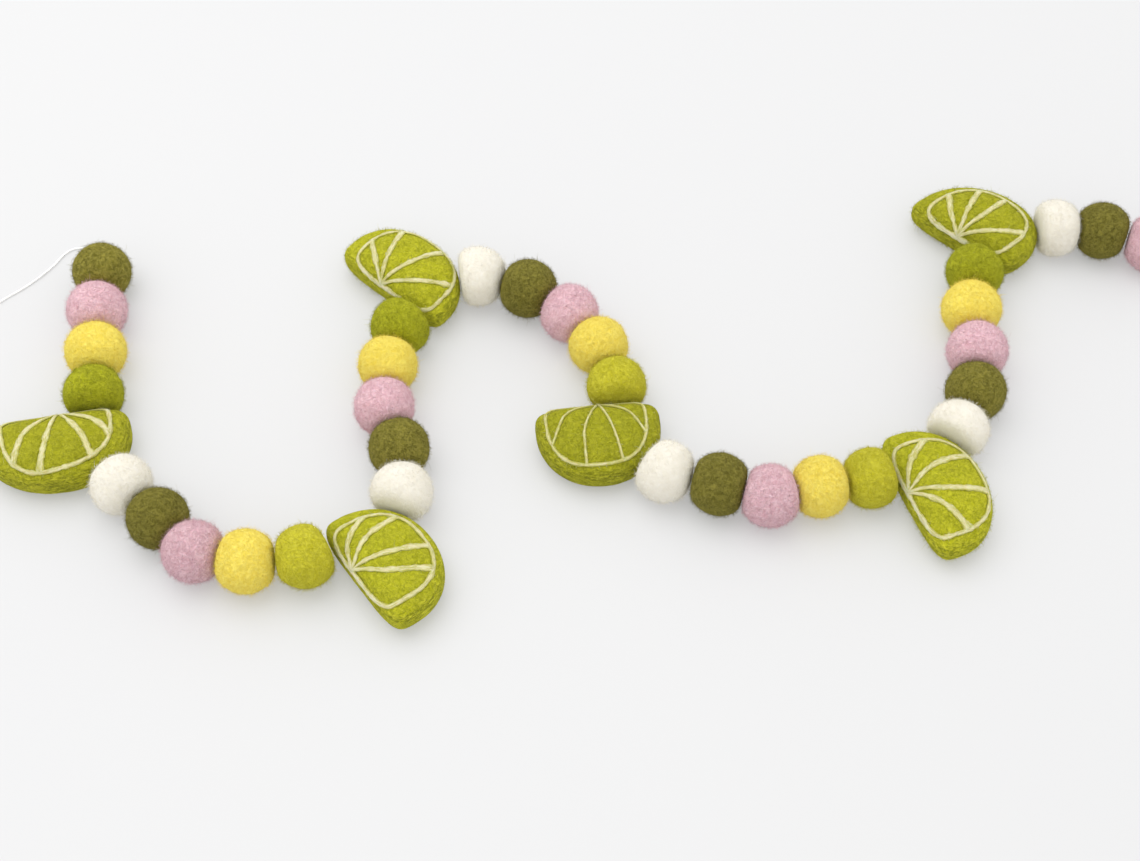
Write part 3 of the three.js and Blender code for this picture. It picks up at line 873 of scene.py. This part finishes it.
runs = []
for run in RUNS:
    runs.append(lay_run(run, sum(len(balls) for balls in runs)))
last_heading = heading(RUNS[-1]["headings"][-1])
ball_number = 0
felt_balls = []
for r, balls in enumerate(runs):
    for i, ball in enumerate(balls):
        ball_number += 1
        cheeks = []
        if i > 0:
            cheeks.append(cheek_at_ball(ball, balls[i - 1]))
        elif r > 0:
            cheeks.append(cheek_at_slice(ball, SLICES[r - 1], 0))
        if i + 1 < len(balls):
            cheeks.append(cheek_at_ball(ball, balls[i + 1]))
        elif r < len(SLICES):
            cheeks.append(cheek_at_slice(ball, SLICES[r], YARN_HEIGHT))
        first, last = r == i == 0, r == len(runs) - 1 and i == len(balls) - 1
        hole = unit(np.array(THREAD_ROUTE[0])) if first else last_heading if last else None
        bm = bmesh.new()
        bmesh.ops.create_icosphere(bm, subdivisions=5, radius=1)
        way = unit(np.array([vert.co[:] for vert in bm.verts]))
        moved(bm, in_metres(ball_points(ball, way, cheeks, hole, ball_number)))
        paint(bm, "tone", BALL_TONES[r][i])
        wool = ball["wool"]
        if wool == "lime" and r in FRESH_LIME_RUNS:
            wool = "fresh_lime"
        number = f"{ball_number:02d}"
        slot = "felt_" + ball["wool"]
        piece = finished(f"felt_ball_{number}", bm, BALL_FELT[wool], slot, f"ball_{number}")
        felt_balls.append(dict(ball, wool=wool, piece=piece, cheeks=cheeks, tone=BALL_TONES[r][i]))

# The thread's other end is stopped by a knot, snug against the last ball.
last_ball = felt_balls[-1]
end_reach = last_ball["radius"] + CLEARANCE + KNOT_RADIUS / 2 + KNOT_STRAND
overhand_knot(
    "thread_end_knot",
    last_ball["centre"] + last_heading * end_reach,
    facing=last_heading,
    lead_from=(0, 0, 1),
    lead_in=[(0, 0, -1.6), (1.1, 0.05, -1.45), (2, 0.1, -0.8)],
    tail=[(2.1, 0.1, 0.9), (2.3, 0.6, 2.2), (1.9, 1.1, 3.8)],
    node="end_knot",
)

# Stray wool
# Fibres that stand out of the felt all over: short ones close to it and a few long loose ones.
# They grow from the pieces above, and lie in one mesh for each colour of wool.
FIBRE_WIDTH = 0.1
FIBRE_TAPER = np.array([1, 0.8, 0.2])  # its width at its root, middle and tip
SHORT_LENGTHS = (0.8, 2.1)
LONG_LENGTHS = (2.4, 4.6)
FIBRE_LIFTS = (22, 85)  # degrees that a fibre stands up from the felt
YARN_LIFTS = (0, 35)
FIBRE_BEND = 0.55
FIBRE_DROOP = 0.8
# Stray fibres are painted paler than their felt: painted light, for the light that shines through thin
# fibres.
FIBRE_PAINTED_LIGHT = 1.05  # against the felt it grows from
ROOT_DEPTH = 0.1
ROOT_STRAY = 0.3  # from the middle of a face of the mesh
BALL_FIBRES = 3700
SLICE_FIBRES = 5600
YARN_FIBRES = 1100
LONG_SHARE = 0.018
BARE_BELOW = 1  # over the table, where no fibres show
TABLE_GAP = 0.05  # kept between a fibre and the table
YARN_TURN = 0.1  # fibres grow from the yarn where it faces up by this much
KEEP_OFF = 0.2  # from a cheek, where two pieces press the fibres flat
TANGLE = 0.5  # how far a fibre may reach into the next ball's own
FIBRE_SEED = 7
wind = np.random.default_rng(FIBRE_SEED)


def surface_spots(piece, count):
    """Random spots on a piece, with the way out of it."""
    mesh = piece.data
    centres = np.empty(len(mesh.polygons) * 3)
    normals = np.empty(len(mesh.polygons) * 3)
    areas = np.empty(len(mesh.polygons))
    mesh.polygons.foreach_get("center", centres)
    mesh.polygons.foreach_get("normal", normals)
    mesh.polygons.foreach_get("area", areas)
    picked = wind.choice(len(areas), count, p=areas / areas.sum())
    jitter = wind.normal(0, ROOT_STRAY, (count, 3)) * MM
    out = normals.reshape(-1, 3)[picked]
    jitter -= out * (jitter * out).sum(axis=1, keepdims=True)
    return (centres.reshape(-1, 3)[picked] + jitter - PLAN_ZERO) / MM, out


def fibre_ribbons(roots, out, lifts=FIBRE_LIFTS):
    """A thin curved ribbon from each root, leaning over the felt: three pairs of points each."""
    count = len(roots)
    long = wind.random(count) < LONG_SHARE
    length = np.where(long, wind.uniform(*LONG_LENGTHS, count), wind.uniform(*SHORT_LENGTHS, count))
    lean = unit(np.cross(out, wind.normal(size=(count, 3))))
    aside = np.cross(out, lean)
    lift = np.radians(wind.uniform(*lifts, count))
    bend = wind.normal(0, FIBRE_BEND, count)
    droop = wind.uniform(0, FIBRE_DROOP, count)
    roll = wind.uniform(0, math.pi, count)[:, None]
    centre = roots - ROOT_DEPTH * out
    pairs = []
    for step, taper in enumerate(FIBRE_TAPER):
        rise = (lift * (1 - droop * step))[:, None]
        turn = (bend * step)[:, None]
        flat = lean * np.cos(turn) + aside * np.sin(turn)
        forward = unit(flat * np.cos(rise) + out * np.sin(rise))
        across = unit(np.cross(forward, out + 0.01 * lean))
        across = across * np.cos(roll) + np.cross(forward, across) * np.sin(roll)
        half = across * (FIBRE_WIDTH / 2 * taper)
        pairs.append(np.stack([centre - half, centre + half], axis=1))
        centre = centre + forward * (length / (len(FIBRE_TAPER) - 1))[:, None]
    ribbons = np.stack(pairs, axis=1)
    ribbons[..., 2] = np.maximum(ribbons[..., 2], TABLE_GAP)
    return ribbons


def wool_mesh(name, ribbons, tones, material):
    """All fibres of one colour as one piece."""
    count, steps = ribbons.shape[:2]
    corners = np.arange(count * steps * 2).reshape(count, steps, 2)
    left, right = corners[..., 0], corners[..., 1]
    faces = np.stack([left[:, :-1], right[:, :-1], right[:, 1:], left[:, 1:]], axis=-1)
    mesh = bpy.data.meshes.new(name)
    mesh.from_pydata(in_metres(ribbons.reshape(-1, 3)).tolist(), [], faces.reshape(-1, 4).tolist())
    layer = mesh.attributes.new("tone", "FLOAT", "POINT")
    layer.data.foreach_set("value", np.repeat(tones, steps * 2))
    mesh.materials.append(material)
    piece = bpy.data.objects.new(name, mesh)
    bpy.context.scene.collection.objects.link(piece)
    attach(piece, "root")
    return piece


for wool, material in BALL_FELT.items():
    ribbons, tones = [], []
    for ball in felt_balls:
        if ball["wool"] != wool:
            continue
        roots, out = surface_spots(ball["piece"], BALL_FIBRES)
        free = roots[:, 2] > BARE_BELOW
        for towards, reach, _ in ball["cheeks"]:
            free &= (roots - ball["centre"]) @ towards < reach - KEEP_OFF
        grown = fibre_ribbons(roots[free], out[free])
        for towards, reach, _ in ball["cheeks"]:
            tips = (grown[:, -1].mean(axis=1) - ball["centre"]) @ towards
            grown = grown[tips < reach + TANGLE]
        ribbons.append(grown)
        # the fibres' tone here includes their painted light
        tones.append(np.full(len(grown), FIBRE_PAINTED_LIGHT * ball["tone"]))
    slot = "felt_lime" if "lime" in wool else f"felt_{wool}"
    wool_mesh(f"stray_wool_{wool}", np.concatenate(ribbons), np.concatenate(tones), material)

ribbons, tones = [], []
for piece, tone in zip(lime_slices, SLICE_TONES):
    roots, out = surface_spots(piece, SLICE_FIBRES)
    free = roots[:, 2] > BARE_BELOW
    grown = fibre_ribbons(roots[free], out[free])
    ribbons.append(grown)
    # the fibres' tone here includes their painted light
    tones.append(np.full(len(grown), FIBRE_PAINTED_LIGHT * tone))
wool_mesh("stray_wool_slices", np.concatenate(ribbons), np.concatenate(tones), lime_felt)

ribbons = []
for piece in yarns:
    roots, out = surface_spots(piece, YARN_FIBRES)
    free = out[:, 2] > YARN_TURN
    ribbons.append(fibre_ribbons(roots[free], out[free], YARN_LIFTS))
ribbons = np.concatenate(ribbons)
wool_mesh("stray_wool_yarn", ribbons, np.ones(len(ribbons)), roving_finish)

# Table and light
# A plain pale table top that glows a little all over, a painted glow that keeps the shadows on it pale
# and close, and soft light from all round with a large lamp behind on the left.
TABLE_SIZE = 6
# strength of the table top's painted glow, which lightens the shadows on it
TABLE_GLOW = 0.31
LAMP_PLACE = Vector((-0.45, 0.35, 1.4))
LAMP_SIZE = 1.5
LAMP_POWER = 10
SKY_STRENGTH = 1.2


def table_finish():
    table = Finish("table_top")
    cloud = table.noise(table.place(), 3, 2)
    tint = table.mix(cloud, colour(164, 164, 165), colour(166, 166, 166))
    # the emission is the table's painted glow, not a lamp
    sockets = {"Roughness": 0.6, "Emission Color": (1, 1, 1, 1), "Emission Strength": TABLE_GLOW}
    return table.surface(tint, table.noise(table.place(), 900, 2), 0.01, sockets)


bm = bmesh.new()
bmesh.ops.create_grid(bm, x_segments=1, y_segments=1, size=TABLE_SIZE / 2)
table_mesh = bpy.data.meshes.new("table")
bm.to_mesh(table_mesh)
bm.free()
table_mesh.materials.append(table_finish())
table = bpy.data.objects.new("table", table_mesh)
bpy.context.scene.collection.objects.link(table)

lamp_data = bpy.data.lights.new("lamp", "AREA")
lamp_data.shape = "SQUARE"
lamp_data.size = LAMP_SIZE
lamp_data.energy = LAMP_POWER
lamp = bpy.data.objects.new("lamp", lamp_data)
lamp.location = LAMP_PLACE
lamp.rotation_euler = LAMP_PLACE.to_track_quat("Z", "Y").to_euler()
bpy.context.scene.collection.objects.link(lamp)

world = bpy.data.worlds.new("studio")
world.use_nodes = True
world.node_tree.nodes["Background"].inputs["Color"].default_value = (1, 1, 1, 1)
world.node_tree.nodes["Background"].inputs["Strength"].default_value = SKY_STRENGTH
bpy.context.scene.world = world
bpy.context.scene.view_settings.view_transform = "Standard"
